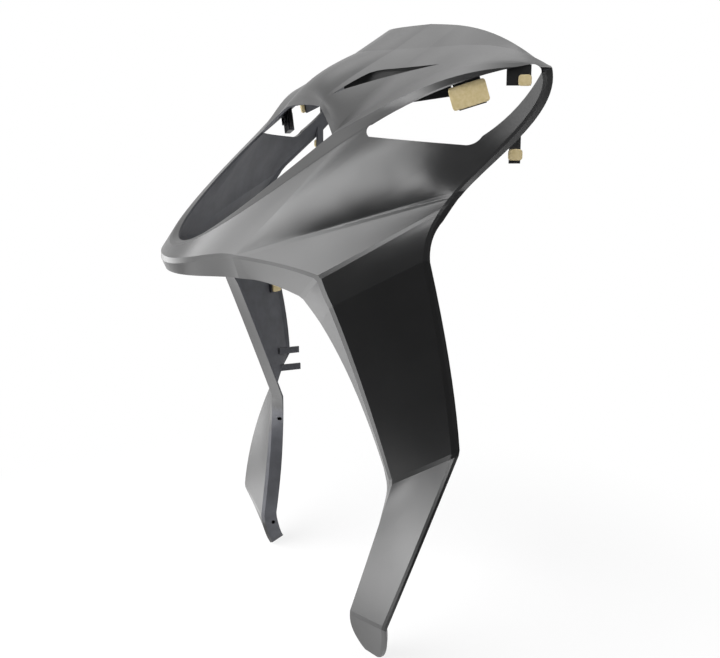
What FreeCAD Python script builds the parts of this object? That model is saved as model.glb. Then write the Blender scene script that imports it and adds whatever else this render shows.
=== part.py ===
# Motorcycle front fairing: one moulded shell with spring clips and felt pads, in millimetres.
# +Z is up, the nose faces -Y and +X is the rider's left. The drawing starts at the nose tip,
# and the finished part's origin is midway between the two upper stay holes.
import FreeCAD, Part
import os
from itertools import combinations_with_replacement
from math import cos, radians, sin
from FreeCAD import Vector

# Driving dimensions
OVERALL_WIDTH = 516.0
OVERALL_DEPTH = 335.0
OVERALL_HEIGHT = 696.0
WALL = 2.6

# The sections below are drawn at this size and stretched to the driving dimensions
DRAWN_WIDTH = 516.0
DRAWN_DEPTH = 335.0
DRAWN_HEIGHT = 696.0

# How far the bevel of a fold reaches to each side
LIP_BEVEL = 3.6
BROW_BEVEL = 2.4
LEDGE_BEVEL = 6.0
FOLD_BEVEL = 3.0

# How far the inside is drawn straight behind a crowned panel
PANEL_EASE = 0.5
COWL_EASE = 0.4

# Points nearer than this are one point, and mitres are no sharper than this
TINY = 1e-6
SHARPEST_MITRE = 0.7


def at(x, y, z):
    """A drawn point, stretched to the driving dimensions."""
    return Vector(
        x * OVERALL_WIDTH / DRAWN_WIDTH,
        y * OVERALL_DEPTH / DRAWN_DEPTH,
        z * OVERALL_HEIGHT / DRAWN_HEIGHT,
    )


# A flank section runs from the free lip over the lip fold and the panel to the brow fold and the edge.
# Its last value is the panel's crown between the two folds.
NOSE = [
    (at(0, 6, -18), at(0, 0, -4), at(0, 12, 13), at(0, 21, 16), 0.0),
    (at(42, 19, -21), at(46, 12, 1), at(58, 28, 24), at(52, 38, 27), 0.0),
    (at(66, 39, -19), at(78, 29, 7), at(103, 79, 65), at(88, 85, 70), 0.0),
    (at(82, 53, -18), at(98, 43, 9), at(143, 152, 122), at(112, 157, 132), 0.0),
]
# Above the headlight opening the panel stands on the ledge, so only brow, edge and crown are drawn
CHEEK = [
    (at(181, 207, 161), at(172, 205, 168), 12.0),
    (at(220, 255, 184), at(216, 250, 190), 14.0),
]
REAR_CORNER = (at(250, 324, 193), at(254, 331, 197))
REAR_BEND = [(at(253, 259, 111), at(256, 269, 113)), (at(257, 335, 162), at(260, 340, 154))]
BEFORE_LEDGE = (at(84, 55, -18), at(99, 44, 9), at(252, 236, 87), at(255, 243, 86), 6.0)
LEDGE_TOP = (at(91, 62, -17), at(106, 50, 9), at(251, 223, 75), at(253, 232, 76), 0.0)
LEDGE_MIDDLE = (at(109, 84, -21), at(146, 82, 3), at(250, 218, 69), at(251, 225, 66), 0.0)
LEDGE_EDGE = (at(134, 112, -34), at(186, 109, -6), at(250, 212, 62), at(249, 217, 54), 0.0)
LEG_BEND = (at(138, 120, -46), at(189, 113, -20), at(248, 202, 43), at(248, 206, 38), 0.0)
LEG_TOP = (at(142, 130, -62), at(193, 119, -36), at(247, 197, 14), at(248, 202, 12), 0.0)
LEG_MIDDLE = (at(158, 156, -120), at(195, 146, -108), at(245, 218, -82), at(245, 225, -80), 0.0)
KNEE = (at(162, 196, -228), at(190, 189, -232), at(247, 233, -190), at(248, 240, -187), 0.0)
LOWER_LEG = (at(169, 198, -301), at(170, 177, -303), at(251, 192, -275), at(252, 196, -277), 0.0)
TOE_FOLD = (at(147, 179, -392), at(148, 158, -394), at(232, 160, -374), at(234, 164, -376), 0.0)
TOE_MIDDLE = (at(146, 184, -414), at(147, 163, -418), at(208, 172, -409), at(211, 176, -409), 0.0)
TOE_TIP = (at(161, 194, -431), at(156, 173, -438), at(183, 180, -438), at(187, 184, -434), 0.0)

# A cowl section runs from its lower edge over the lip fold and the face to the crease and the top edge
COWL_CENTRE = [
    [at(0, 168, 164), at(0, 169, 170), at(0, 190, 197), at(0, 242, 224), at(0, 287, 252)],
    [at(26, 168, 163), at(26, 170, 169), at(27, 194, 193), at(27, 248, 224), at(27, 294, 254)],
    [at(50, 168, 162), at(51, 171, 167), at(53, 197, 188), at(54, 259, 224), at(55, 304, 253)],
]
COWL_CORNER = [
    COWL_CENTRE[-1],
    [at(82, 163, 148), at(81, 168, 152), at(79, 202, 182), at(77, 269, 224), at(77, 311, 251)],
    [at(112, 157, 132), at(111, 162, 136), at(104, 208, 177), at(98, 278, 224), at(96, 315, 249)],
]
COWL_SIDE = [
    COWL_CORNER[-1],
    [at(172, 205, 168), at(165, 230, 185), at(158, 264, 206), at(155, 301, 224), at(147, 321, 239)],
    [at(216, 250, 190), at(211, 268, 200), at(205, 289, 210), at(196, 314, 219), at(187, 325, 226)],
    [at(254, 331, 197), at(250, 333, 198), at(246, 335, 199), at(241, 336, 200), at(230, 339, 200)],
]

# Openings are drawn in a plane square to a line of sight, as across and up from a reference point.
# After the start each entry is the end of a line, or a point on an arc and its end.
SIGHT_TURN = 65.5
SIGHT_RISE = 11.9
HEADLIGHT_PLACE = Vector(183.7, 164.2, 136.5)
HEADLIGHT_INWARD = Vector(-0.893, 0.511, 0.013)
HEADLIGHT_START = (2.5, 5.2)
HEADLIGHT_PATH = [
    [(83.0, 44.4), (162.5, 65.5)],
    [(169.4, 63.1), (171.4, 57.2)],
    [(141.8, 17.8), (113.3, -4.9)],
    [(106.4, -11.3), (97.5, -13.8)],
    [(-0.4, -6.6)],
    [(-2.9, -0.2), HEADLIGHT_START],
]
SLIT_PLACE = Vector(76.7, 169.9, 173.0)
SLIT_INWARD = Vector(-0.924, 0.455, 0.038)
SLIT_START = (0.0, 0.0)
SLIT_PATH = [
    [(19.0, 11.9), (41.0, 23.6)],
    [(52.0, 26.6), (66.8, 28.2)],
    [(116.0, 32.6)],
    [(62.7, 20.0), (15.4, 6.4)],
    [SLIT_START],
]
CUT_OUTWARD = 45.0
CUT_INWARD = 55.0

# Wall behind each slit: centre, size, turn and tilt
SLIT_WALL = (at(89, 243, 183.2), Vector(130, 2.5, 40), 35.7, 7.0)

# Upper stay tabs, one each side, tilted along the arch above them, with their holes on one line
STAY_HOLE = at(90, 184, 146)
STAY_HOLE_RADIUS = 3.3
STAY_TAB = Vector(22.0, 4.0, 26.0)
STAY_TAB_RISE = 0.2
STAY_TILT = -17.0
CLIP_WIDTH = 16.0
CLIP_METAL = 1.2
CLIP_CLEARANCE = 0.3
CLIP_RISE = 10.0
CLIP_NUT = Vector(10.0, 4.0, 10.0)

# Screw holes in the lower legs' flanges, and stiffening tabs inside the legs
SCREW_PLACES = [at(173, 195, -262), at(149, 174, -402)]
SCREW_RADIUS = 2.6
SCREW_DEPTH = 24.0
LEG_TAB = Vector(3.0, 30.0, 9.0)
LEG_TAB_PLACES = [at(224, 230, -178), at(224, 232, -203)]

# Felt pads on flat tabs: tab centre, tab size, turn, tilt, pad shift along the tab and pad size
PAD_TABS = {
    "brow_pad": (at(212, 262, 176), Vector(28, 2.5, 34), 60.0, 17.0, Vector(-1, 0, -4.5), Vector(38, 3, 23)),
    "corner_pad": (at(237, 304, 190), Vector(24, 2.5, 20), 60.0, 0.0, Vector(6, 0, -5), Vector(13, 3, 11)),
    "flank_pad": (at(252, 292, 121), Vector(11, 3.0, 32), 70.0, 0.0, Vector(0, 0, -7.5), Vector(14, 3, 11)),
    "leg_pad": (at(236.5, 213.5, -86), Vector(20, 6.0, 14), 237.5, 0.0, Vector(0, 0, 0), Vector(18, 3, 13)),
}

# Bands of a flank row: lip, lip fold, panel, brow fold and edge band, as first and last point
BANDS = [(0, 1), (1, 2), (2, 5), (5, 6), (6, 7)]
PANEL = slice(2, 6)
PANEL_SHARES = (1 / 3, 2 / 3)
CHEEK_BANDS = [(0, 3), (3, 4), (4, 5)]
COWL_BANDS = [(0, 1), (1, 3), (3, 4)]


def towards(start, end, reach, share=0.4):
    """A point on the way from start to end, at most a share of the distance."""
    gap = end - start
    return start + gap * min(share, reach / max(gap.Length, TINY))


def bevelled(before, corner, after, reach):
    """The two points that cut a corner."""
    return [towards(corner, before, reach), towards(corner, after, reach)]


def square_to(along, chord):
    """Unit vector out of the skin."""
    out = along.cross(chord)
    out.normalize()
    return out


def flank_row(section, along):
    """The eight control points of a flank section."""
    lip, fold, brow, edge, crown = section
    below = bevelled(lip, fold, brow, LIP_BEVEL)
    above = bevelled(fold, brow, edge, BROW_BEVEL)
    chord = above[0] - below[1]
    out = square_to(along, chord)
    panel = [below[1] + chord * share + out * crown for share in PANEL_SHARES]
    return [lip] + below + panel + above + [edge]


def straighten(row):
    """Take the crown out of a flank row's panel."""
    first, *_, last = row[PANEL]
    row[3:5] = [first + (last - first) * share for share in PANEL_SHARES]


def flank_rows(sections):
    """Control points of all sections, each lifted square to the run of its neighbours."""
    rows = []
    for index, section in enumerate(sections):
        before = sections[max(index - 1, 0)]
        after = sections[min(index + 1, len(sections) - 1)]
        along = after[1] + after[2] - before[1] - before[2]
        rows.append(flank_row(section, along))
    return rows


def control_points(points, shares):
    """Control points of a curve that meets three or four points at given shares of its run."""
    t, s = shares[1], shares[-2]
    a, d = points[0], points[-1]
    if len(points) == 3:
        return [a, (points[1] - a * (1 - t) ** 2 - d * t ** 2) * (0.5 / (t - t * t)), d]
    first = points[1] - a * (1 - t) ** 3 - d * t ** 3
    second = points[2] - a * (1 - s) ** 3 - d * s ** 3
    near_t, far_t = 3 * t * (1 - t) ** 2, 3 * t * t * (1 - t)
    near_s, far_s = 3 * s * (1 - s) ** 2, 3 * s * s * (1 - s)
    area = near_t * far_s - near_s * far_t
    b = (first * far_s - second * far_t) * (1 / area)
    c = (second * near_t - first * near_s) * (1 / area)
    return [a, b, c, d]


def run_shares(rows):
    """How far along its stretch each row lies, on average over its points."""
    reached = [0.0]
    for before, after in zip(rows[:-1], rows[1:]):
        reached.append(reached[-1] + sum((b - a).Length for a, b in zip(before, after)))
    return [value / reached[-1] for value in reached]


def turned(rows):
    return [list(line) for line in zip(*rows)]


def through(rows):
    """Control rows of a skin whose lines along the body run through the given points."""
    shares = run_shares(rows)
    return turned([control_points(line, shares) for line in turned(rows)])


def straight(line):
    """Whether the points lie evenly on a straight line."""
    step = (line[-1] - line[0]) * (1 / (len(line) - 1))
    return all((line[0] + step * index - point).Length < TINY for index, point in enumerate(line))


def plainest(rows):
    """The same skin with only its end rows, where the others lie evenly between them."""
    if all(straight(line) for line in turned(rows)):
        return [rows[0], rows[-1]]
    return rows


def make_face(poles):
    poles = turned(plainest(turned(plainest(poles))))
    u_degree, v_degree = len(poles) - 1, len(poles[0]) - 1
    u_counts, v_counts = [u_degree + 1] * 2, [v_degree + 1] * 2
    ends = [0.0, 1.0]
    surface = Part.BSplineSurface()
    surface.buildFromPolesMultsKnots(poles, u_counts, v_counts, ends, ends, False, False, u_degree, v_degree)
    return surface.toShape()


def make_curve(poles):
    curve = Part.BezierCurve()
    curve.setPoles(poles)
    return curve


def join_smoothly(first, second, lines):
    """Line up the poles on both sides of a shared row, so that two skins meet without a fold."""
    for j in lines:
        shared = first[-1][j]
        run = second[1][j] - first[-2][j]
        run.normalize()
        first[-2][j] = shared - run * (shared - first[-2][j]).Length
        second[1][j] = shared + run * (second[1][j] - shared).Length


def level_at_centre(poles):
    """Bring the row next to the centre line square to it, so that both halves meet smoothly."""
    for j, pole in enumerate(poles[0]):
        pole.x = 0.0
        poles[1][j] = Vector(poles[1][j].x, pole.y, pole.z)


def leg_stretches():
    """Nets from the ledge down to the toe: bevelled folds with the plain stretches between them."""
    sections = [BEFORE_LEDGE, LEDGE_TOP, LEDGE_MIDDLE, LEDGE_EDGE, LEG_BEND, LEG_TOP, LEG_MIDDLE,
                KNEE, LOWER_LEG, TOE_FOLD, TOE_MIDDLE, TOE_TIP]
    folds = {1: LEDGE_BEVEL, 3: FOLD_BEVEL, 7: FOLD_BEVEL, 9: FOLD_BEVEL}
    plain_joints = [5]
    rows = flank_rows(sections)
    nets = []
    plain = []
    for index, row in enumerate(rows):
        if index in folds:
            lines = zip(rows[index - 1], row, rows[index + 1])
            before, after = turned([bevelled(*points, folds[index]) for points in lines])
            if not sections[index][-1]:
                straighten(before)
                straighten(after)
            if nets:
                nets.append(through(plain + [before]))
            nets.append([before, after])
            plain = [after]
        else:
            plain.append(row)
        if index in plain_joints:
            nets.append(through(plain))
            plain = [row]
    nets.append(through(plain))
    return nets


def cheek_net(nose_end, ledge_start, ledge_end):
    """Net between ledge and brow, over the headlight opening, and the strip along its rear edge."""
    lower = make_curve(ledge_start[PANEL])
    beyond = make_curve(ledge_end[PANEL])
    rows = [nose_end[2:]]
    for (brow, edge, crown), share in zip(CHEEK, PANEL_SHARES):
        foot = lower.value(share)
        above = bevelled(foot, brow, edge, BROW_BEVEL)
        chord = above[0] - foot
        out = square_to(lower.value(share + 0.01) - foot, chord)
        rise = foot - beyond.value(share)
        rise.normalize()
        steep = rise * chord.Length * share + chord * (1 - share)
        steep.normalize()
        low = foot + steep * chord.Length * PANEL_SHARES[0] + out * crown
        high = foot + chord * PANEL_SHARES[1] + out * crown
        rows.append([foot, low, high] + above + [edge])
    bends = []
    for inner, (brow, edge) in zip(rows[-1][1:3], REAR_BEND):
        bends.append(bevelled(inner, brow, edge, BROW_BEVEL) + [edge])
    top = bevelled(rows[-1][2], REAR_CORNER[0], REAR_CORNER[1], BROW_BEVEL) + [REAR_CORNER[1]]
    rows.append([ledge_start[5], bends[0][0], bends[1][0]] + top)
    net = through(rows)
    for row, pole in zip(net, ledge_start[PANEL]):
        row[0] = pole
    return net, turned([ledge_start[5:]] + bends + [top])


def cowl_nets(cheek):
    """Nets of the cowl's lip, face and dome, for the centre, the corner and the side."""
    nets = []
    for sections in (COWL_CENTRE, COWL_CORNER, COWL_SIDE):
        rows = []
        for lip, fold, face, crease, top in through(sections):
            rows.append([lip, fold, face * 2 - (fold + crease) * 0.5, crease, top])
        nets.append(rows)
    centre, corner, side = nets
    for row, below in zip(side, cheek):
        row[0] = below[-1]
    corner[-1] = list(side[0])
    centre[-1] = list(corner[0])
    join_smoothly(corner, side, range(2, 5))
    join_smoothly(centre, corner, range(2, 5))
    level_at_centre(centre)
    return nets


def bands_of(net, bands):
    return [[row[first:last + 1] for row in net] for first, last in bands]


def line(net, index):
    return [row[index] for row in net]


def half_nets():
    """All control nets of the left half's outer skin."""
    stretches = leg_stretches()
    ledge_start, ledge_end = stretches[0]
    nose_rows = flank_rows(NOSE)
    nose_rows[-1][:3] = ledge_start[:3]
    straighten(nose_rows[-1])
    nose = through(nose_rows)
    cheek, rear = cheek_net(nose_rows[-1], ledge_start, ledge_end)
    nose_upper = [row[2:] for row in nose]
    join_smoothly(nose_upper, cheek, range(1, 5))
    nose[-2][2:] = nose_upper[-2]
    straighten(nose[-2])
    level_at_centre(nose)
    return [nose] + stretches, cheek, rear, cowl_nets(cheek)


def outer_patches(flanks, cheek, rear, cowl):
    patches = bands_of(cheek, CHEEK_BANDS) + [rear[0:2], rear[1:3]]
    for net in flanks:
        patches += bands_of(net, BANDS)
    for net in cowl:
        patches += bands_of(net, COWL_BANDS)
    return patches


def free_edges(flanks, rear, cowl):
    free = [rear[2], line(cowl[0], 0), line(cowl[1], 0)]
    for net in flanks:
        free += [line(net, 0), line(net, -1)]
    free += [flanks[-1][-1][first:last + 1] for first, last in BANDS]
    free += [cowl[2][-1][first:last + 1] for first, last in COWL_BANDS]
    free += [line(net, -1) for net in cowl]
    return free


def key_of(pole):
    return (round(pole.x, 3), round(pole.y, 3), round(pole.z, 3))


def pole_values(count):
    return [index / (count - 1) for index in range(count)]


def inner_poles(patches):
    """For each outer pole the one that lies a wall's thickness inside."""
    normals = {}
    poles = {}
    for patch in patches:
        surface = make_face(patch).Surface
        for row, u in zip(patch, pole_values(len(patch))):
            for pole, v in zip(row, pole_values(len(row))):
                normals.setdefault(key_of(pole), []).append(surface.normal(u, v))
                poles[key_of(pole)] = pole
    return {key: poles[key] + mitre(found, key[0]) * WALL for key, found in normals.items()}


def mitre(normals, x):
    """The way from a corner to the inside, where the two walls that differ most meet."""
    if abs(x) < TINY:
        normals = [Vector(0, normal.y, normal.z).normalize() for normal in normals]
    pairs = combinations_with_replacement(normals, 2)
    first, second = min(pairs, key=lambda pair: pair[0].dot(pair[1]))
    return (first + second) * (-1.0 / max(1.0 + first.dot(second), SHARPEST_MITRE))


def ease(inner, row, share):
    """Draw a row's inner poles towards a straight line, all the way behind a straight row."""
    start, end = inner[key_of(row[0])], inner[key_of(row[-1])]
    share = 1.0 if straight(row) else share
    for index, pole in enumerate(row[1:-1], 1):
        aim = start + (end - start) * (index / (len(row) - 1))
        key = key_of(pole)
        inner[key] = inner[key] + (aim - inner[key]) * share


def merge(inner, first, second):
    """Let the inside of a bevel run together in one line."""
    middle = (inner[key_of(first)] + inner[key_of(second)]) * 0.5
    inner[key_of(first)] = middle
    inner[key_of(second)] = middle


def simplify_inside(inner, flanks, cheek, rear, cowl):
    """Inside, folds are sharp and crowned panels flatter."""
    for net in flanks:
        for row in net:
            merge(inner, row[1], row[2])
            merge(inner, row[5], row[6])
    for row in cheek:
        merge(inner, row[3], row[4])
    for pair in zip(rear[0], rear[1]):
        merge(inner, *pair)
    for net in flanks:
        if len(net) == 2:
            for pair in zip(*net):
                merge(inner, *pair)
    for net in flanks:
        for row in net:
            ease(inner, row[PANEL], PANEL_EASE)
    for row in cheek[1:3]:
        ease(inner, row[0:4], PANEL_EASE)
    for net in cowl:
        for row in net:
            ease(inner, row[1:4], COWL_EASE)


def collapsed(poles):
    """Whether a net has no width left."""
    across = max((row[0] - row[-1]).Length for row in poles)
    along = max((first - last).Length for first, last in zip(poles[0], poles[-1]))
    return min(across, along) < TINY


def edge_face(poles, inside):
    """The face of a free edge, a triangle where the inside has no width."""
    if (inside[0] - inside[-1]).Length < TINY:
        return Part.Face(Part.makePolygon([poles[0], poles[-1], inside[0], poles[0]]))
    return make_face([poles, inside])


def mirrored(shape):
    return shape.mirror(Vector(0, 0, 0), Vector(1, 0, 0))


def moulded_shell():
    """Both halves of the outer skin, the inner skin and the free edges, sewn into one solid."""
    flanks, cheek, rear, cowl = half_nets()
    patches = outer_patches(flanks, cheek, rear, cowl)
    inner = inner_poles(patches)
    simplify_inside(inner, flanks, cheek, rear, cowl)
    faces = [make_face(poles) for poles in patches]
    for poles in patches:
        inside = [[inner[key_of(pole)] for pole in row] for row in poles]
        if not collapsed(inside):
            faces.append(make_face(inside))
    for poles in free_edges(flanks, rear, cowl):
        faces.append(edge_face(poles, [inner[key_of(pole)] for pole in poles]))
    faces += [mirrored(face) for face in faces]
    shell = Part.makeCompound(faces)
    shell.sewShape(0.001)
    solid = Part.makeSolid(shell.Shells[0])
    if solid.Volume < 0:
        solid.reverse()
    return solid


def sight_point(place, across, up):
    turn, rise = radians(SIGHT_TURN), radians(SIGHT_RISE)
    point = place + Vector(cos(turn), sin(turn), 0) * across
    point = point + Vector(-sin(turn) * sin(rise), cos(turn) * sin(rise), cos(rise)) * up
    return at(point.x, point.y, point.z)


def opening_cutter(place, inward, start, path):
    """A prism along the line of sight with the outline of an opening."""
    edges = []
    here = sight_point(place, *start)
    for step in path:
        points = [sight_point(place, *point) for point in step]
        if len(points) == 1:
            edges.append(Part.LineSegment(here, points[0]).toShape())
        else:
            edges.append(Part.Arc(here, *points).toShape())
        here = points[-1]
    face = Part.Face(Part.Wire(edges))
    face.translate(inward * -CUT_OUTWARD)
    return face.extrude(inward * (CUT_OUTWARD + CUT_INWARD))


def box_around(centre, size):
    return Part.makeBox(size.x, size.y, size.z, centre - size * 0.5)


def peg(centre, axis, radius, length):
    return Part.makeCylinder(radius, length, centre - axis * (length * 0.5), axis)


def placed(shape, centre, turn, tilt):
    """A shape drawn at the origin, tilted in its own plane, turned about the upright and moved."""
    shape.rotate(Vector(0, 0, 0), Vector(0, 1, 0), -tilt)
    shape.rotate(Vector(0, 0, 0), Vector(0, 0, 1), turn)
    shape.translate(centre)
    return shape


def pad_pair(tab_place, tab_size, turn, tilt, shift, pad_size):
    """A flat tab of the shell and the felt pad on its outer face."""
    seat = Vector(shift.x, -(tab_size.y + pad_size.y) * 0.5, shift.z)
    tab = placed(box_around(Vector(0, 0, 0), tab_size), tab_place, turn, tilt)
    pad = placed(box_around(seat, pad_size), tab_place, turn, tilt)
    return tab, pad


def stay_bore(length):
    return peg(Vector(0, 0, 0), Vector(0, 1, 0), STAY_HOLE_RADIUS, length)


def stay_clip():
    """A folded clip over the end of a stay tab, with a square nut in front of it."""
    side = Vector(CLIP_WIDTH, CLIP_METAL, CLIP_RISE * 2 + CLIP_METAL)
    reach = STAY_TAB.y * 0.5 + CLIP_CLEARANCE + CLIP_METAL * 0.5
    foot = STAY_TAB_RISE - STAY_TAB.z * 0.5 - CLIP_CLEARANCE - CLIP_METAL
    middle = foot + side.z * 0.5
    clip = box_around(Vector(0, -reach, middle), side)
    bridge = Vector(CLIP_WIDTH, reach * 2 + CLIP_METAL, CLIP_METAL)
    nut_place = Vector(0, -reach - CLIP_NUT.y * 0.5, 0)
    for centre, size in [
        (Vector(0, reach, middle), side),
        (Vector(0, 0, foot + CLIP_METAL * 0.5), bridge),
        (nut_place, CLIP_NUT),
    ]:
        clip = clip.fuse(box_around(centre, size))
    clip = clip.cut(stay_bore(STAY_TAB.z)).removeSplitter()
    return placed(clip, STAY_HOLE, 0.0, STAY_TILT)


def both_sides(shapes):
    return shapes + [mirrored(shape) for shape in shapes]


def fairing_pieces():
    """All pieces by name, in the drawing's frame."""
    pieces = {}
    slit_place, slit_size, slit_turn, slit_tilt = SLIT_WALL
    tabs = [placed(box_around(Vector(0, 0, STAY_TAB_RISE), STAY_TAB), STAY_HOLE, 0.0, STAY_TILT)]
    tabs.append(placed(box_around(Vector(0, 0, 0), slit_size), slit_place, slit_turn, slit_tilt))
    for name, values in PAD_TABS.items():
        tab, pad = pad_pair(*values)
        tabs.append(tab)
        pieces[name + "_left"] = pad
        pieces[name + "_right"] = mirrored(pad)
    tabs += [box_around(place, LEG_TAB) for place in LEG_TAB_PLACES]
    holes = [placed(stay_bore(STAY_TAB.z), STAY_HOLE, 0.0, 0.0)]
    holes += [peg(place, Vector(1, 0, 0), SCREW_RADIUS, SCREW_DEPTH) for place in SCREW_PLACES]
    cutters = [opening_cutter(HEADLIGHT_PLACE, HEADLIGHT_INWARD, HEADLIGHT_START, HEADLIGHT_PATH)]
    cutters.append(opening_cutter(SLIT_PLACE, SLIT_INWARD, SLIT_START, SLIT_PATH))

    shell = moulded_shell()
    for cutter in both_sides(cutters):
        shell = shell.cut(cutter)
    for tab in both_sides(tabs):
        shell = shell.fuse(tab)
    for hole in both_sides(holes):
        shell = shell.cut(hole)
    pieces["fairing_shell"] = shell
    clip = stay_clip()
    pieces["stay_clip_left"] = clip
    pieces["stay_clip_right"] = mirrored(clip)
    return pieces


def main():
    os.makedirs("parts", exist_ok=True)
    for name, piece in fairing_pieces().items():
        piece.translate(Vector(0, -STAY_HOLE.y, -STAY_HOLE.z))
        piece.Solids[0].exportStep("parts/%s.step" % name)


main()
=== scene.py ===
from math import cos, hypot, radians, sin

import bmesh
import bpy
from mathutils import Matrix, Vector, noise


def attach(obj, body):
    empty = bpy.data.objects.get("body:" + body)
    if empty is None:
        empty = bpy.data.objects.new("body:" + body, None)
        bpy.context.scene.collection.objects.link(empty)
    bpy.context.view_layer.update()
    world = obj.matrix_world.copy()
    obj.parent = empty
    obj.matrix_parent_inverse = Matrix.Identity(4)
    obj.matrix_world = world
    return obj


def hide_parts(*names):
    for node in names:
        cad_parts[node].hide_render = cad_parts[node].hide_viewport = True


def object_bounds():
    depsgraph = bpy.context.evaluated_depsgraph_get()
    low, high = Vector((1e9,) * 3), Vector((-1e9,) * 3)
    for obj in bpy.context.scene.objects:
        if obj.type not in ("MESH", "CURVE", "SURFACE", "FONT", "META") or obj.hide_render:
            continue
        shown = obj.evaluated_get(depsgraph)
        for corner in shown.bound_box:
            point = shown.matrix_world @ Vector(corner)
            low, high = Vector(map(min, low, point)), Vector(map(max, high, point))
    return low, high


# Sides of the part, with the sign of X on each
SIDES = {"left": 1.0, "right": -1.0}

# Camera: its place, the photograph's viewing angle in degrees, and lens and sensor in millimetres
CAMERA_PLACE = Vector((1.0945, -0.4425, 0.0025))
CAMERA_AZIMUTH = 65.5
CAMERA_ELEVATION = 11.9
CAMERA_LENS = 50.0
CAMERA_SENSOR = 36.0

# Floor: a pale sheet that ends a little in front of the part, and glows to full white further out
FLOOR_SIZE = 16.0
FLOOR_FRONT = 0.38
FLOOR_GAP = 0.002
FLOOR_COLOUR = (0.86, 0.86, 0.86, 1.0)
FLOOR_ROUGHNESS = 0.9
GLOW_REACH = (0.25, 0.7)
GLOW_SHARE = (0.8, 1.0)

# Lamps: name, azimuth and elevation in degrees, distance, width, height, power in watts.
# The low softbox, the strip and the two panels are there for the nose, its lip and the toes.
AIM = Vector((0.05, 0.0, -0.15))
LAMPS = [
    ("key_softbox", -4.0, 36.0, 2.4, 3.9, 0.95, 104.0),
    ("low_softbox", -56.0, -4.0, 1.5, 1.0, 0.62, 7.5),
    ("strip_softbox", -16.0, -1.0, 1.5, 1.1, 0.5, 6.5),
    ("low_panel", -28.0, -48.7, 0.45, 0.6, 0.3, 1.1),
    ("front_panel", 2.0, -22.4, 0.81, 0.42, 0.28, 2.0),
    ("top_softbox", -110.0, 54.0, 2.4, 1.8, 1.1, 9.0),
    ("rear_softbox", 120.0, 22.0, 2.4, 2.8, 0.7, 34.0),
]

# Room: its greys from straight down (0) to straight up (1), and the span in which the backdrop sets in
UP = Vector((0.0, 0.0, 1.0))
WHITE = (1.0, 1.0, 1.0, 1.0)
ROOM_STOPS = [
    (0.35, (0.05, 0.05, 0.052, 1.0)),
    (0.5, (0.06, 0.06, 0.062, 1.0)),
    (0.9, (0.14, 0.14, 0.145, 1.0)),
]
BACKDROP_EDGE = (-0.15, 0.45)

# Noises: scale, detail and roughness
CLOUD = (7.0, 3.0, 0.55)
SCUFF = (45.0, 6.0, 0.55)
SMEAR = (22.0, 5.0, 0.55)
GRAIN = (2600.0, 2.0, 0.55)
WEAR = (160.0, 6.0, 0.55)
TUFTS = (260.0, 6.0, 0.6)
FIBRES = (1500.0, 6.0, 0.75)

# Bumps: strength and distance
GRAIN_BUMP = (0.05, 0.0002)
WEAR_BUMP = (0.15, 0.0003)
FIBRE_BUMP = (0.3, 0.0004)

# Greys have a trace of blue
GREY_BLUE = 1.03

# Shell plastic: ramp stops of colour and of roughness, outside and inside
OUTER_GREYS = [(0.3, 0.009), (0.7, 0.012)]
INNER_COLOURS = [(0.3, (0.032, 0.033, 0.039, 1.0)), (0.7, (0.055, 0.057, 0.066, 1.0))]
SATIN_GREYS = [(0.25, 0.34), (0.75, 0.38)]
MATT_GREYS = [(0.25, 0.58), (0.75, 0.68)]
PLASTIC_IOR = 1.54

# Outer faces look away from a point behind the shell's middle, and inner faces towards it
HEART = Vector((0.0, 0.12, -0.35))
INSIDE_EDGE = (-0.02, 0.02)

# Clip steel: ramp stops of colour and of roughness
STEEL_GREYS = [(0.45, 0.035), (0.8, 0.12)]
STEEL_ROUGHNESS = [(0.3, 0.5), (0.8, 0.32)]
STEEL_METALLIC = 0.8

# Pad felt: ramp stops of colour, roughness and sheen
BUFF_COLOURS = [(0.3, (0.50, 0.40, 0.20, 1.0)), (0.7, (0.60, 0.50, 0.29, 1.0))]
FELT_ROUGHNESS = 0.95
FELT_SHEEN = 0.15

# Cheek crown on the left side: the valley line's start and run, the way up the cheek and the way out of it
VALLEY_START = Vector((0.1241, -0.1129, -0.1296))
VALLEY_RUN = Vector((0.627, 0.732, 0.266)).normalized()
CHEEK_UP = Vector((-0.356, 0.138, 0.925)).normalized()
CHEEK_OUT = VALLEY_RUN.cross(CHEEK_UP)

# The crown's foot line and height: level, the run where it holds, and growth along the run
VALLEY_FOOT = (0.0095, 0.045, 0.13)
CROWN_HEIGHT = (0.030, 0.045, 0.40)
CROWN_TALLEST = 0.060
CROWN_DEPTH = 0.015

# How far the crown stands out: run along the valley and fullest push
CROWN_ALONG = [
    (0.030, 0.0),
    (0.090, 0.0016),
    (0.120, 0.0027),
    (0.150, 0.0031),
    (0.185, 0.0046),
    (0.235, 0.0),
]

# This factor makes the crown's profile, share times (1 - share) squared, 1 at its peak
CROWN_PEAK = 27.0 / 4.0

# The crown's mesh: longest edge, passes of cuts, step for its slope, and how far from a corner
# towards the middle of its face the slope is read
CROWN_EDGE = 0.007
CROWN_PASSES = 4
SLOPE_STEP = 0.0002
NUDGE = 0.04

# Screw bosses behind the left leg's flange holes: place in the flange, and its change of X along Y and Z
BOSSES = [
    ("upper", Vector((0.17295, 0.011, -0.408)), Vector((0.0, -0.91, 0.0))),
    ("lower", Vector((0.1472, -0.010, -0.548)), Vector((0.0, -0.13, 0.126))),
]
BOSS_RADIUS = 0.0044
BOSS_BORE = 0.0027
BOSS_LENGTH = 0.0095
BOSS_END = 0.0015
BOSS_SIDES = 40

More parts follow.
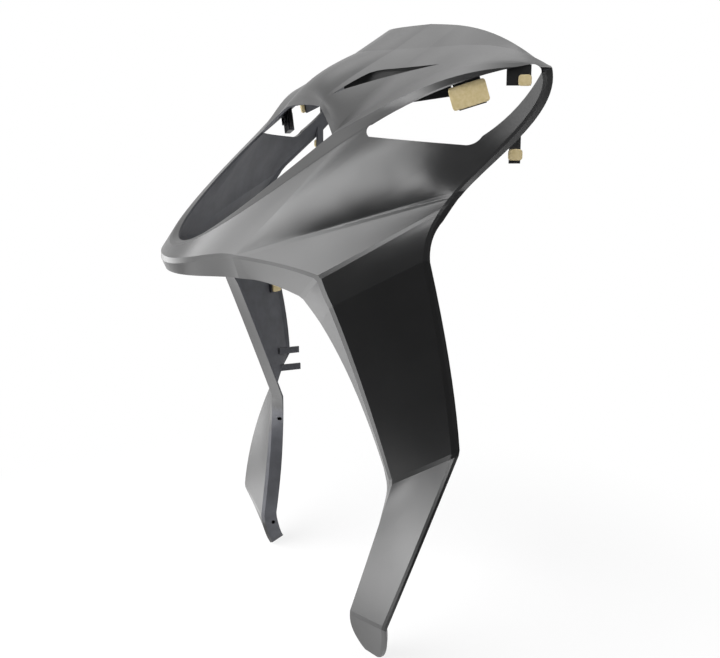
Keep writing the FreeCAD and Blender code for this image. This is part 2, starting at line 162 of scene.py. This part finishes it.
# Felt pads: their nodes, rounded corners, soft rims and fuzz
PADS = ["brow_pad", "corner_pad", "flank_pad", "leg_pad"]
PAD_WELD = 1e-5
PAD_FLAT = radians(5.0)
PAD_SHORT = 1.5
PAD_CORNER = {"offset": 0.0032, "segments": 6, "profile": 0.5}
PAD_SHARP = radians(60.0)
PAD_RIM = {"offset": 0.0008, "segments": 3, "profile": 0.6}
PAD_CUTS = 5
PAD_FUZZ = 0.00012
PAD_FUZZ_SCALE = 180.0
PAD_FUZZ_SHIFTS = [Vector((0.0, 0.0, 0.0)), Vector((31.4, 0.0, 0.0)), Vector((0.0, 47.2, 0.0))]


def new_material(name):
    material = bpy.data.materials.new(name)
    material.use_nodes = True
    nodes = material.node_tree.nodes
    return material, nodes, material.node_tree.links, nodes["Principled BSDF"]


def noise_node(nodes, links, scale, detail, roughness):
    """A noise texture in the object's own coordinates."""
    place = nodes.new("ShaderNodeTexCoord")
    texture = nodes.new("ShaderNodeTexNoise")
    texture.inputs["Scale"].default_value = scale
    texture.inputs["Detail"].default_value = detail
    texture.inputs["Roughness"].default_value = roughness
    links.new(place.outputs["Object"], texture.inputs["Vector"])
    return texture.outputs["Fac"]


def ramp_node(nodes, links, source, stops):
    """A colour ramp with stops of position and colour."""
    ramp = nodes.new("ShaderNodeValToRGB")
    elements = ramp.color_ramp.elements
    for element, (position, colour) in zip(elements, (stops[0], stops[-1])):
        element.position = position
        element.color = colour
    for position, colour in stops[1:-1]:
        elements.new(position).color = colour
    links.new(source, ramp.inputs["Fac"])
    return ramp.outputs["Color"]


def grey_ramp(nodes, links, source, stops):
    """A ramp of greys with stops of position and level."""
    greys = [(position, (level, level, level * GREY_BLUE, 1.0)) for position, level in stops]
    return ramp_node(nodes, links, source, greys)


def bump_node(nodes, links, source, strength, distance):
    bump = nodes.new("ShaderNodeBump")
    bump.inputs["Strength"].default_value = strength
    bump.inputs["Distance"].default_value = distance
    links.new(source, bump.inputs["Height"])
    return bump.outputs["Normal"]


def blend_node(nodes, links, share, first, second):
    """The first colour where the share is 0, the second where it is 1."""
    blend = nodes.new("ShaderNodeMix")
    blend.data_type = "RGBA"
    links.new(share, blend.inputs["Factor"])
    links.new(first, blend.inputs["A"])
    links.new(second, blend.inputs["B"])
    return blend.outputs["Result"]


def mix_node(nodes, links, share, first, second):
    """The first shader where the share is 0, the second where it is 1."""
    mix = nodes.new("ShaderNodeMixShader")
    links.new(share, mix.inputs["Fac"])
    links.new(first, mix.inputs[1])
    links.new(second, mix.inputs[2])
    return mix.outputs["Shader"]


def math_node(nodes, links, operation, first, second):
    """An operation on two values, each a number or a node's output."""
    step = nodes.new("ShaderNodeMath")
    step.operation = operation
    for socket, value in zip(step.inputs, (first, second)):
        if isinstance(value, float):
            socket.default_value = value
        else:
            links.new(value, socket)
    return step.outputs["Value"]


def range_node(nodes, links, source, span, levels=(0.0, 1.0), smooth=True):
    """The first level below the span, the second above it, and a change from one to the other between."""
    change = nodes.new("ShaderNodeMapRange")
    change.interpolation_type = "SMOOTHSTEP" if smooth else "LINEAR"
    change.inputs["From Min"].default_value = span[0]
    change.inputs["From Max"].default_value = span[1]
    change.inputs["To Min"].default_value = levels[0]
    change.inputs["To Max"].default_value = levels[1]
    links.new(source, change.inputs["Value"])
    return change.outputs["Result"]


def dot_node(nodes, links, first, second):
    """Scalar product of a node's vector with another node's vector or a fixed one."""
    product = nodes.new("ShaderNodeVectorMath")
    product.operation = "DOT_PRODUCT"
    links.new(first, product.inputs[0])
    if isinstance(second, Vector):
        product.inputs[1].default_value = second
    else:
        links.new(second, product.inputs[1])
    return product.outputs["Value"]


def ray_shares(nodes, links):
    """Two shares: 1 on camera rays, and 1 on glossy or transmission rays."""
    rays = nodes.new("ShaderNodeLightPath").outputs
    shiny = math_node(nodes, links, "MAXIMUM", rays["Is Glossy Ray"], rays["Is Transmission Ray"])
    return rays["Is Camera Ray"], shiny


def inside_share(nodes, links):
    """1 on faces that look back at the rider's side, 0 on faces that look outwards."""
    place = nodes.new("ShaderNodeTexCoord")
    offset = nodes.new("ShaderNodeVectorMath")
    offset.operation = "SUBTRACT"
    offset.inputs[1].default_value = HEART
    links.new(place.outputs["Object"], offset.inputs[0])
    facing = nodes.new("ShaderNodeNewGeometry")
    outward = dot_node(nodes, links, offset.outputs["Vector"], facing.outputs["True Normal"])
    return math_node(nodes, links, "SUBTRACT", 1.0, range_node(nodes, links, outward, INSIDE_EDGE))


def shell_plastic():
    """Black moulded plastic: satin outside with faint clouding and fine grain, paler and matt inside."""
    material, nodes, links, shader = new_material("shell_plastic")
    inside = inside_share(nodes, links)
    outer = grey_ramp(nodes, links, noise_node(nodes, links, *CLOUD), OUTER_GREYS)
    inner = ramp_node(nodes, links, noise_node(nodes, links, *SCUFF), INNER_COLOURS)
    links.new(blend_node(nodes, links, inside, outer, inner), shader.inputs["Base Color"])
    smear = noise_node(nodes, links, *SMEAR)
    satin = grey_ramp(nodes, links, smear, SATIN_GREYS)
    matt = grey_ramp(nodes, links, smear, MATT_GREYS)
    links.new(blend_node(nodes, links, inside, satin, matt), shader.inputs["Roughness"])
    grain = noise_node(nodes, links, *GRAIN)
    links.new(bump_node(nodes, links, grain, *GRAIN_BUMP), shader.inputs["Normal"])
    shader.inputs["IOR"].default_value = PLASTIC_IOR
    return material


def clip_steel():
    """Blackened spring steel with worn lighter spots."""
    material, nodes, links, shader = new_material("clip_steel")
    wear = noise_node(nodes, links, *WEAR)
    links.new(grey_ramp(nodes, links, wear, STEEL_GREYS), shader.inputs["Base Color"])
    links.new(grey_ramp(nodes, links, wear, STEEL_ROUGHNESS), shader.inputs["Roughness"])
    links.new(bump_node(nodes, links, wear, *WEAR_BUMP), shader.inputs["Normal"])
    shader.inputs["Metallic"].default_value = STEEL_METALLIC
    return material


def pad_felt():
    """Buff felt: matted fibres with paler and darker tufts."""
    material, nodes, links, shader = new_material("pad_felt")
    tufts = noise_node(nodes, links, *TUFTS)
    links.new(ramp_node(nodes, links, tufts, BUFF_COLOURS), shader.inputs["Base Color"])
    fibres = noise_node(nodes, links, *FIBRES)
    links.new(bump_node(nodes, links, fibres, *FIBRE_BUMP), shader.inputs["Normal"])
    shader.inputs["Roughness"].default_value = FELT_ROUGHNESS
    shader.inputs["Sheen Weight"].default_value = FELT_SHEEN
    return material


def dress(mesh, material):
    mesh.materials.clear()
    mesh.materials.append(material)


def copied_mesh(name, node, material):
    """A copy of a node's mesh, with a name and a material of its own."""
    mesh = node.data.copy()
    mesh.name = name
    dress(mesh, material)
    return mesh


def add_object(name, data):
    item = bpy.data.objects.new(name, data)
    bpy.context.collection.objects.link(item)
    return item


def along_crown(run):
    """Fullest push of the crown at a distance along the valley, eased between the listed places."""
    for (start, low), (end, high) in zip(CROWN_ALONG, CROWN_ALONG[1:]):
        if start <= run <= end:
            share = (run - start) / (end - start)
            return low + (high - low) * share * share * (3.0 - 2.0 * share)
    return 0.0


def ramped(values, run):
    """A level that grows evenly with the distance along the valley."""
    level, start, growth = values
    return level + (run - start) * growth


def crown(place):
    """How far the cheek's skin stands out at a place on either side of the part."""
    offset = Vector((abs(place.x), place.y, place.z)) - VALLEY_START
    run = offset.dot(VALLEY_RUN)
    height = min(CROWN_TALLEST, ramped(CROWN_HEIGHT, run))
    share = (offset.dot(CHEEK_UP) - ramped(VALLEY_FOOT, run)) / height
    if not 0.0 < share < 1.0 or abs(offset.dot(CHEEK_OUT)) > CROWN_DEPTH:
        return 0.0
    return along_crown(run) * CROWN_PEAK * share * (1.0 - share) ** 2


def outwards(place):
    """The way out of the cheek on the side where a place lies."""
    return Vector((CHEEK_OUT.x if place.x > 0.0 else -CHEEK_OUT.x, CHEEK_OUT.y, CHEEK_OUT.z))


def tilted(normal, place):
    """The skin's normal after the crown has pushed the skin out along one direction."""
    slope = Vector()
    for axis in range(3):
        step = Vector()
        step[axis] = SLOPE_STEP
        slope[axis] = (crown(place + step) - crown(place - step)) / (2.0 * SLOPE_STEP)
    out = outwards(place)
    return (normal - slope * (out.dot(normal) / (1.0 + out.dot(slope)))).normalized()


def kept_shading(body, mesh):
    """A layer with the corner normals of the mesh, which stays when its faces are cut."""
    shading = body.loops.layers.float_vector.new("shading")
    for face, polygon in zip(body.faces, mesh.polygons):
        for loop, corner in zip(face.loops, polygon.loop_indices):
            loop[shading] = mesh.corner_normals[corner].vector
    return shading


def under_crown(edge):
    """Whether the crown pushes an end or the middle of an edge."""
    start, end = [vert.co for vert in edge.verts]
    return any(crown(place) > 0.0 for place in (start, end, (start + end) * 0.5))


def cut_long_edges(body):
    """Halves the long edges under the crown, pass by pass, and keeps every face a triangle."""
    for _ in range(CROWN_PASSES):
        long_edges = [edge for edge in body.edges if edge.calc_length() > CROWN_EDGE and under_crown(edge)]
        bmesh.ops.subdivide_edges(body, edges=long_edges, cuts=1)
        bmesh.ops.triangulate(body, faces=[face for face in body.faces if len(face.verts) > 3])


def crowned_normals(body, shading):
    """The kept corner normals, tilted where the crown pushes the skin."""
    normals = []
    for face in body.faces:
        centre = face.calc_center_median()
        for loop in face.loops:
            place = loop.vert.co.lerp(centre, NUDGE)
            normal = loop[shading].normalized()
            normals.append(tilted(normal, place) if crown(place) > 0.0 else normal)
    return normals


def crowned_skin(name, node, material):
    """The moulded shell with a fuller crown above the valley of each cheek, and its smooth shading kept."""
    mesh = copied_mesh(name, node, material)
    body = bmesh.new()
    body.from_mesh(mesh)
    shading = kept_shading(body, mesh)
    cut_long_edges(body)
    normals = crowned_normals(body, shading)
    for face in body.faces:
        face.smooth = True
    for vert in body.verts:
        vert.co += outwards(vert.co) * crown(vert.co)
    body.to_mesh(mesh)
    body.free()
    mesh.normals_split_custom_set(normals)
    return add_object(name, mesh)


def add_skin(nodes, material):
    skin = crowned_skin("moulded_skin", nodes["fairing_shell"], material)
    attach(skin, "root")
    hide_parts("fairing_shell")


def boss_ring(body, mouth, slope, hand, radius, depth):
    """A ring of a boss around X: at no depth it lies in the sloping flange, deeper it is square to X."""
    ring = []
    for step in range(BOSS_SIDES):
        turn = radians(360.0 * step / BOSS_SIDES)
        around = Vector((0.0, radius * cos(turn), radius * sin(turn)))
        push = depth if depth > 0.0 else around.dot(slope)
        place = mouth + around + Vector((push, 0.0, 0.0))
        ring.append(body.verts.new((place.x * hand, place.y, place.z)))
    return ring


def screw_boss(name, mouth, slope, hand, material):
    """A blind cup along X whose mouth lies inside the sloping flange around a screw hole."""
    body = bmesh.new()
    mouth_bore = boss_ring(body, mouth, slope, hand, BOSS_BORE, 0.0)
    mouth_rim = boss_ring(body, mouth, slope, hand, BOSS_RADIUS, 0.0)
    end_rim = boss_ring(body, mouth, slope, hand, BOSS_RADIUS, BOSS_LENGTH)
    end_bore = boss_ring(body, mouth, slope, hand, BOSS_BORE, BOSS_LENGTH - BOSS_END)
    for first, second in ((mouth_bore, mouth_rim), (mouth_rim, end_rim), (end_bore, mouth_bore)):
        for step in range(BOSS_SIDES):
            after = (step + 1) % BOSS_SIDES
            body.faces.new((first[step], first[after], second[after], second[step]))
    body.faces.new(end_rim)
    body.faces.new(end_bore)
    bmesh.ops.recalc_face_normals(body, faces=body.faces)
    mesh = bpy.data.meshes.new(name)
    body.to_mesh(mesh)
    body.free()
    dress(mesh, material)
    return add_object(name, mesh)


def add_bosses(material):
    for height, mouth, slope in BOSSES:
        for side, hand in SIDES.items():
            boss = screw_boss("screw_boss_" + height + "_" + side, mouth, slope, hand, material)
            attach(boss, "root")


def fuzz(place):
    """A small push that changes from place to place and is the same on each run."""
    spot = place * PAD_FUZZ_SCALE
    return Vector([noise.noise(spot + shift) for shift in PAD_FUZZ_SHIFTS]) * PAD_FUZZ


def felt_pad(name, node, material):
    """A felt pad with soft edges and a fuzzy face, in the place of its plain solid."""
    mesh = copied_mesh(name, node, material)
    body = bmesh.new()
    body.from_mesh(mesh)
    bmesh.ops.remove_doubles(body, verts=body.verts, dist=PAD_WELD)
    bmesh.ops.dissolve_limit(body, angle_limit=PAD_FLAT, verts=body.verts, edges=body.edges)
    thickness = min(edge.calc_length() for edge in body.edges)
    corners = [edge for edge in body.edges if edge.calc_length() < thickness * PAD_SHORT]
    bmesh.ops.bevel(body, geom=corners, affect="EDGES", **PAD_CORNER)
    rims = [edge for edge in body.edges if edge.calc_face_angle(0.0) > PAD_SHARP]
    bmesh.ops.bevel(body, geom=rims, affect="EDGES", **PAD_RIM)
    bmesh.ops.triangulate(body, faces=body.faces)
    bmesh.ops.subdivide_edges(body, edges=body.edges, cuts=PAD_CUTS, use_grid_fill=True)
    for vert in body.verts:
        vert.co += fuzz(vert.co)
    for face in body.faces:
        face.smooth = True
    body.to_mesh(mesh)
    body.free()
    return add_object(name, mesh)


def add_pads(nodes, material):
    for pad_name in PADS:
        for side in SIDES:
            node_name = pad_name + "_" + side
            pad = felt_pad("felt_" + node_name, nodes[node_name], material)
            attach(pad, "root")
            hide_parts(node_name)


def dress_clips(nodes, material):
    for side in SIDES:
        dress(nodes["stay_clip_" + side].data, material)


def add_camera():
    data = bpy.data.cameras.new("camera")
    data.lens = CAMERA_LENS
    data.sensor_width = CAMERA_SENSOR
    data.sensor_fit = "HORIZONTAL"
    camera = add_object("camera", data)
    camera.location = CAMERA_PLACE
    camera.rotation_euler = (radians(90.0 - CAMERA_ELEVATION), 0.0, radians(CAMERA_AZIMUTH))
    bpy.context.scene.camera = camera


def bearing(azimuth, elevation):
    """Unit vector towards an azimuth and elevation: azimuth 0 is -Y and 90 is +X."""
    turn = radians(azimuth)
    rise = radians(elevation)
    return Vector((sin(turn) * cos(rise), -cos(turn) * cos(rise), sin(rise)))


def add_lamps():
    """Softboxes and panels that face the part and stay out of the camera's sight."""
    for name, azimuth, elevation, distance, width, height, power in LAMPS:
        data = bpy.data.lights.new(name, "AREA")
        data.shape = "RECTANGLE"
        data.size = width
        data.size_y = height
        data.energy = power
        lamp = add_object(name, data)
        away = bearing(azimuth, elevation)
        lamp.location = AIM + away * distance
        lamp.rotation_euler = away.to_track_quat("Z", "Y").to_euler()
        lamp.visible_camera = False


def add_world():
    """A dim studio room with a white backdrop behind the part, which the camera sees as white all round."""
    world = bpy.data.worlds.new("studio")
    bpy.context.scene.world = world
    world.use_nodes = True
    nodes = world.node_tree.nodes
    links = world.node_tree.links
    room = nodes["Background"]
    direction = nodes.new("ShaderNodeTexCoord").outputs["Generated"]
    height = range_node(nodes, links, dot_node(nodes, links, direction, UP), (-1.0, 1.0), smooth=False)
    links.new(ramp_node(nodes, links, height, ROOM_STOPS), room.inputs["Color"])
    white = nodes.new("ShaderNodeBackground")
    white.inputs["Color"].default_value = WHITE
    behind = dot_node(nodes, links, direction, -bearing(CAMERA_AZIMUTH, 0.0))
    backdrop = range_node(nodes, links, behind, BACKDROP_EDGE)
    camera_rays, shiny_rays = ray_shares(nodes, links)
    mirrored = math_node(nodes, links, "MULTIPLY", shiny_rays, backdrop)
    seen = math_node(nodes, links, "MAXIMUM", camera_rays, mirrored)
    surface = mix_node(nodes, links, seen, room.outputs["Background"], white.outputs["Background"])
    links.new(surface, nodes["World Output"].inputs["Surface"])


def floor_pale(level):
    """A pale matt floor that glows to full white away from the part, for the camera and for gloss."""
    material, nodes, links, shader = new_material("floor_pale")
    shader.inputs["Base Color"].default_value = FLOOR_COLOUR
    shader.inputs["Roughness"].default_value = FLOOR_ROUGHNESS
    glow = nodes.new("ShaderNodeEmission")
    distance = nodes.new("ShaderNodeVectorMath")
    distance.operation = "LENGTH"
    links.new(nodes.new("ShaderNodeNewGeometry").outputs["Position"], distance.inputs[0])
    span = [hypot(reach, level) for reach in GLOW_REACH]
    share = range_node(nodes, links, distance.outputs["Value"], span, GLOW_SHARE)
    seen = math_node(nodes, links, "MAXIMUM", *ray_shares(nodes, links))
    glowing = math_node(nodes, links, "MULTIPLY", seen, share)
    surface = mix_node(nodes, links, glowing, shader.outputs["BSDF"], glow.outputs["Emission"])
    links.new(surface, nodes["Material Output"].inputs["Surface"])
    return material


def add_floor(level):
    """The floor under the part, with its front edge square to the camera."""
    centre = bearing(CAMERA_AZIMUTH, 0.0) * (FLOOR_FRONT - FLOOR_SIZE * 0.5)
    bpy.ops.mesh.primitive_plane_add(size=FLOOR_SIZE, location=(centre.x, centre.y, level))
    floor = bpy.context.object
    floor.name = "floor"
    floor.rotation_euler = (0.0, 0.0, radians(CAMERA_AZIMUTH))
    dress(floor.data, floor_pale(level))


def plain(bounds):
    return [[float(value) for value in corner] for corner in bounds]


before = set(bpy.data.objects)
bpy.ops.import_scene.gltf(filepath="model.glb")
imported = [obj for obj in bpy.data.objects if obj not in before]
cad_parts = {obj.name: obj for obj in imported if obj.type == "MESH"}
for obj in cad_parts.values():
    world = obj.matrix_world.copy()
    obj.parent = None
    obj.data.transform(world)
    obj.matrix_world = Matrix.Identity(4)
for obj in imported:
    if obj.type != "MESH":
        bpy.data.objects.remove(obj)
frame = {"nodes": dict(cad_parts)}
cad_box = plain(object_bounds())

plastic = shell_plastic()
add_skin(frame["nodes"], plastic)
add_bosses(plastic)
dress_clips(frame["nodes"], clip_steel())
add_pads(frame["nodes"], pad_felt())

add_camera()
add_lamps()
add_world()
add_floor(cad_box[0][2] - FLOOR_GAP)
bpy.context.scene.view_settings.view_transform = "Standard"
